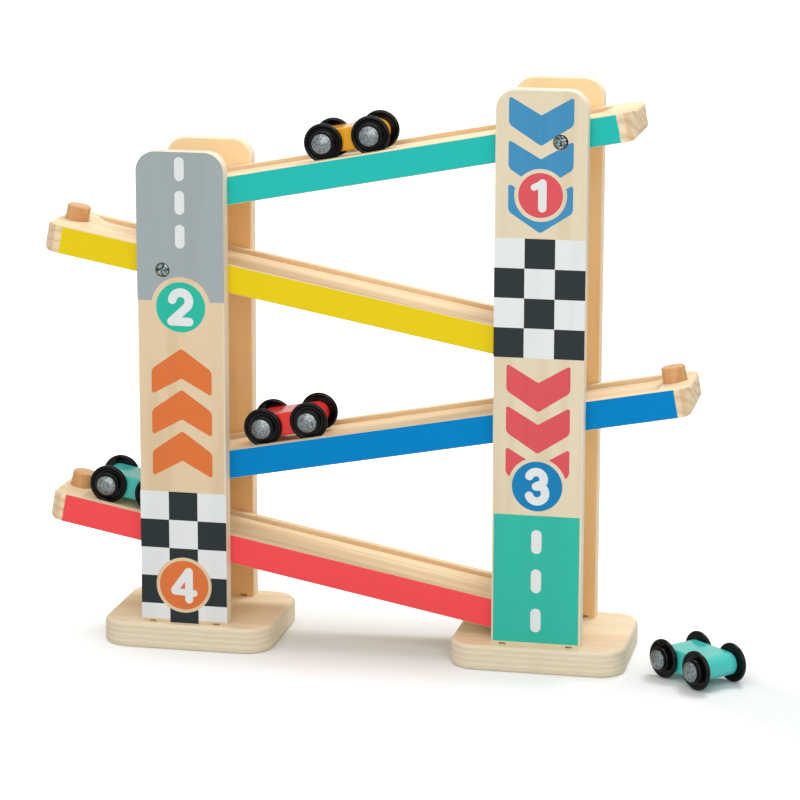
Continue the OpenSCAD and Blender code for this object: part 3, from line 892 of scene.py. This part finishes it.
def flag(side, top, columns, rows, white_foot=None):
    """A grid of white and black checks; white_foot cuts off its lowest row at the plate's foot."""
    bm = bmesh.new()
    bmesh.ops.create_grid(bm, x_segments=columns, y_segments=rows, size=0.5)
    bmesh.ops.rotate(bm, verts=bm.verts, matrix=Matrix.Rotation(math.pi / 2, 3, "X"))
    bmesh.ops.scale(bm, verts=bm.verts, vec=(CHECK_WIDE * columns, 1, CHECK_HIGH * rows))
    bmesh.ops.translate(bm, verts=bm.verts, vec=(0, 0, top - CHECK_HIGH * rows / 2))
    for face in bm.faces:
        middle = face.calc_center_median()
        column = int((middle.x + CHECK_WIDE * columns / 2) // CHECK_WIDE)
        face.material_index = (column + int((top - middle.z) // CHECK_HIGH)) % 2
    if white_foot is not None:
        foot = top - CHECK_HIGH * rows
        lowest = [face for face in bm.faces if face.calc_center_median().z < foot + CHECK_HIGH]
        bmesh.ops.split(bm, geom=[face for face in lowest if face.material_index == 0])
        for corner in [v for v in bm.verts if v.co.z < foot + 0.01]:
            corner.co.z = white_foot if corner.link_faces[0].material_index == 0 else BLACK_FOOT
    return film(bm, side, 1, "white", "black")


print("a check is", CHECK_WIDE, "by", CHECK_HIGH, "mm")

# %% [markdown]
# ## Numbered discs
# Each ramp has its number on a disc, on the tower that holds its high end. A disc needs its place, its
# radius, its ink, and the radius of the bare gap about it, which the grounds leave.

# %% List the discs
DISCS = {1: {"side": "right", "z": 242.3, "radius": 11.7, "gap": 13.8, "ink": "red"},
         2: {"side": "left", "z": 175.5, "radius": 13.6, "gap": 16.4, "ink": "green"},
         3: {"side": "right", "z": 87.6, "radius": 13.45, "gap": 15.6, "ink": "deep_blue"},
         4: {"side": "left", "z": 21.6, "radius": 13.7, "gap": 15.5, "ink": "orange"}}


def print_disc(number):
    """Prints the disc of a number."""
    this = DISCS[number]
    round_face = drawn(disc, [this["z"]], radius=this["radius"])
    finish_print(f"{this['side']}_disc_{number}", film(round_face, this["side"], 1, this["ink"]))


def disc_gap(number):
    """The tool that clears a ground about a disc."""
    this = DISCS[number]
    return bite(this["side"], 0, this["z"], this["gap"])


print("discs at", {number: this["z"] for number, this in DISCS.items()})

# %% [markdown]
# ## Signs on the left tower
# From the top: a grey road with white dashes, the green 2, three orange arrows that point up, and a
# checked finish flag with the orange 4. The grey stays clear of the screw and of the disc.

# %% Print the left tower
SCREW_X, SCREW_GAP = 10.08, 4.1
LEFT_SCREW_Z = 195.24
ROAD_FOOT, ROAD_CORNER = 178.7, 10.5
plate_half = side_of("left_front_plate", 1, "x") - tower_x["left"]
left_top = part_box("left_front_plate")[1].z / MM - base_top

bm = bmesh.new()
road_corners = panel(bm, ROAD_FOOT, left_top, plate_half)
round_off(bm, road_corners[2:], ROAD_CORNER, 12)
bites = [disc_gap(2), bite("left", -SCREW_X, LEFT_SCREW_Z, SCREW_GAP)]
road = finish_print("left_road", boolean(film(bm, "left", 1, "grey"), bites, "DIFFERENCE"))
print("road faces:", len(road.data.polygons))

dashes = drawn(dash, (256.3, 238.3, 220.1), length=12.8, wide=5.3)
finish_print("left_dashes", film(dashes, "left", 2, "white"))
print_disc(2)
arrows = drawn(arrow, (153.0, 130.5, 107.7), half_wide=16.7, shoulder=11.8, notch=16.4, arm=13.8)
finish_print("left_arrows", film(arrows, "left", 1, "orange"))
checks = flag("left", top=73.7, columns=3, rows=5, white_foot=1.9)
left_flag = finish_print("left_flag", boolean(checks, [disc_gap(4)], "DIFFERENCE"))
print_disc(4)
print("left tower printed, flag faces:", len(left_flag.data.polygons))

# %% [markdown]
# ## Signs on the right tower
# From the top: three blue arrows that point down with the red 1 on them, a checked flag, three red
# arrows with the blue 3, and a green road. The round gaps about the discs are bare wood.

# %% Print the right tower
RIGHT_SCREW_Z = 270.07
DOWN_ARROW = {"half_wide": 16.95, "shoulder": 11.0, "down": True}
blue_arrows = drawn(arrow, (293.6, 270.9, 248.2), notch=15.9, arm=14.7, **DOWN_ARROW)
bites = [disc_gap(1), bite("right", SCREW_X, RIGHT_SCREW_Z, SCREW_GAP)]
finish_print("right_blue_arrows", boolean(film(blue_arrows, "right", 1, "blue"), bites, "DIFFERENCE"))
print_disc(1)
finish_print("right_flag", flag("right", top=219.5, columns=3, rows=4))
red_arrows = drawn(arrow, (153.2, 130.8, 108.4), notch=15.7, arm=14.6, **DOWN_ARROW)
red_film = film(red_arrows, "right", 1, "red")
finish_print("right_red_arrows", boolean(red_film, [disc_gap(3)], "DIFFERENCE"))
print_disc(3)
bm = bmesh.new()
panel(bm, foot=1.9, top=71.7, half_wide=22.9)
finish_print("right_road", film(bm, "right", 1, "road_green"))
dashes = drawn(dash, (63.9, 42.4, 20.8), length=13.0, wide=5.5)
finish_print("right_dashes", film(dashes, "right", 2, "white"))
print("right tower printed")

# %% [markdown]
# ## Pen strokes
# A figure is a few pen strokes, as a stencil maker would draw it. A stroke is a path, straight or an
# arc, with a width and round ends. Each stroke becomes a film of its own, and a boolean joins them into
# one clean shape. Two faces that lie in one plane confuse a boolean, so no two strokes are equally
# thick: each is a few thousandths of a millimetre thicker than the last.

# %% Define the pen
STROKE_STEP = 0.1
ROUND_STEPS = 12


def arc(centre, radius, start, end):
    """Points along an arc, from start to end in degrees."""
    steps = max(6, int(abs(start - end) / 6))
    angles = [math.radians(start + (end - start) * k / steps) for k in range(steps + 1)]
    return [(centre[0] + radius * math.cos(a), centre[1] + radius * math.sin(a)) for a in angles]


def stroke(path, width):
    """The outline of a pen stroke along a path, with round ends."""
    points, half, last = [Vector(p) for p in path], width / 2, len(path) - 1
    ways = [(points[min(k + 1, last)] - points[max(k - 1, 0)]).normalized() for k in range(last + 1)]
    across = [Vector((-way.y, way.x)) for way in ways]
    turns = [math.pi * (0.5 - k / ROUND_STEPS) for k in range(1, ROUND_STEPS)]
    near = [p + half * n for p, n in zip(points, across)]
    far = [p - half * n for p, n in zip(points, across)]
    end = [points[-1] + half * (math.cos(t) * ways[-1] + math.sin(t) * across[-1]) for t in turns]
    start = [points[0] - half * (math.cos(t) * ways[0] + math.sin(t) * across[0]) for t in turns]
    return near + end + far[::-1] + start


def figure(number, *strokes):
    """Prints a figure in the middle of its disc, from strokes about the disc's middle."""
    side, z = DISCS[number]["side"], DISCS[number]["z"]
    films = []
    for k, points in enumerate(strokes):
        bm = bmesh.new()
        outline(bm, [(p.x, p.y + z) for p in points])
        films.append(film(bm, side, 2 + STROKE_STEP * k, "white", sunk=SUNK * (1 + 2 * STROKE_STEP * k)))
    finish_print(f"figure_{number}", boolean(films[0], films[1:], "UNION"))


print("a round end has", ROUND_STEPS, "steps")

# %% [markdown]
# ## Figures
# The figures 1 to 4 are drawn about the middles of their discs, in millimetres.

# %% Print the figures
figure(1,
       stroke([(0.95, 6.3), (0.95, -6.6)], 4.4),
       stroke([(0.9, 6.3), (-3.5, 4.1)], 3.4))
figure(2,
       stroke(arc((0, 3.36), 4.64, 172, -40), 4.7),
       stroke([(3.55, 0.38), (-5.2, -7.8)], 4.5),
       stroke([(-5.2, -7.8), (4.65, -7.8)], 4.6))
figure(3,
       stroke(arc((-0.48, 3.87), 4.0, 156, -75), 4.5),
       stroke([(0.55, 0.0), (-0.6, 0.0)], 4.4),
       stroke(arc((-0.06, -3.67), 4.4, 80, -160), 4.5))
figure(4,
       stroke([(2.8, 7.65), (2.8, -7.96)], 4.4),
       stroke([(2.4, 7.9), (-5.4, -2.9)], 3.9),
       stroke([(-5.3, -3.7), (5.7, -4.3)], 3.7))
print("figures printed")

# %% [markdown]
# ## The floor
# The white sheet is a plain matt floor that takes the toy's shadow. For the camera it glows a little,
# and more so far from the toy and from the loose car's run, so that it meets the white background
# without an edge. Where the glow is least the shadows stay, under the toy and wherever the car rolls.

# %% Lay the floor
SHEET = (0.855, 0.88, 0.895, 1)
FLOOR_HALF, FLOOR_DROP = 6.0, 0.0001
QUIET_REACH = 0.03
GLOW_LEAST, GLOW_SLOPE = 0.07, 7


def flat_distance(tree, centre, half_length, heading=0.0):
    """Metres on the floor from a straight line about a centre, along X or along a heading."""
    back = Matrix.Rotation(-heading, 3, "Z")
    here = split_xyz(tree, object_point(tree, (0, 0, -heading), back @ -centre))
    past = maths(tree, "SUBTRACT", maths(tree, "ABSOLUTE", here["X"]), half_length)
    past = maths(tree, "MAXIMUM", past, 0)
    aside = maths(tree, "MULTIPLY", here["Y"], here["Y"])
    return maths(tree, "SQRT", maths(tree, "ADD", maths(tree, "POWER", past, 2), aside))


def white_sheet(from_toy, from_car):
    """Matt white that glows for the camera; each line is a centre, a half length and a heading."""
    material, tree, shader = start_material("white_sheet", SHEET, roughness=0.9, shine=0.1)
    away = maths(tree, "MINIMUM", flat_distance(tree, *from_toy), flat_distance(tree, *from_car))
    rise = rises(tree, away, QUIET_REACH, GLOW_SLOPE, GLOW_LEAST)
    ray = tree.nodes.new("ShaderNodeLightPath").outputs
    shader.inputs["Emission Color"].default_value = (1, 1, 1, 1)
    feed(tree, shader.inputs["Emission Strength"], maths(tree, "MULTIPLY", ray["Is Camera Ray"], rise))
    return material


car_joint = next(joint for joint in frame["joints"] if joint["name"] == "floor_car_roll")
car_way, (back_stop, front_stop) = Vector(car_joint["axis"]), car_joint["range_m"]
car_place = Vector((middle_of("floor_car_body", "x"), middle_of("floor_car_body", "y"), 0)) * MM
run_middle = car_place + car_way * (back_stop + front_stop) / 2
car_run = run_middle, (front_stop - back_stop) / 2, math.atan2(car_way.y, car_way.x)
toy_line = Vector((middle_x, 0, 0)) * MM, middle_x * MM

bm = bmesh.new()
bmesh.ops.create_grid(bm, x_segments=1, y_segments=1, size=FLOOR_HALF)
bmesh.ops.translate(bm, verts=bm.verts, vec=(0, 0, -FLOOR_DROP))
floor = bpy.data.objects.new("floor", to_mesh(bm, "floor"))
bpy.context.scene.collection.objects.link(floor)
floor.data.materials.append(white_sheet(toy_line, car_run))
print("floor laid, the car rolls about", [round(v, 3) for v in run_middle])
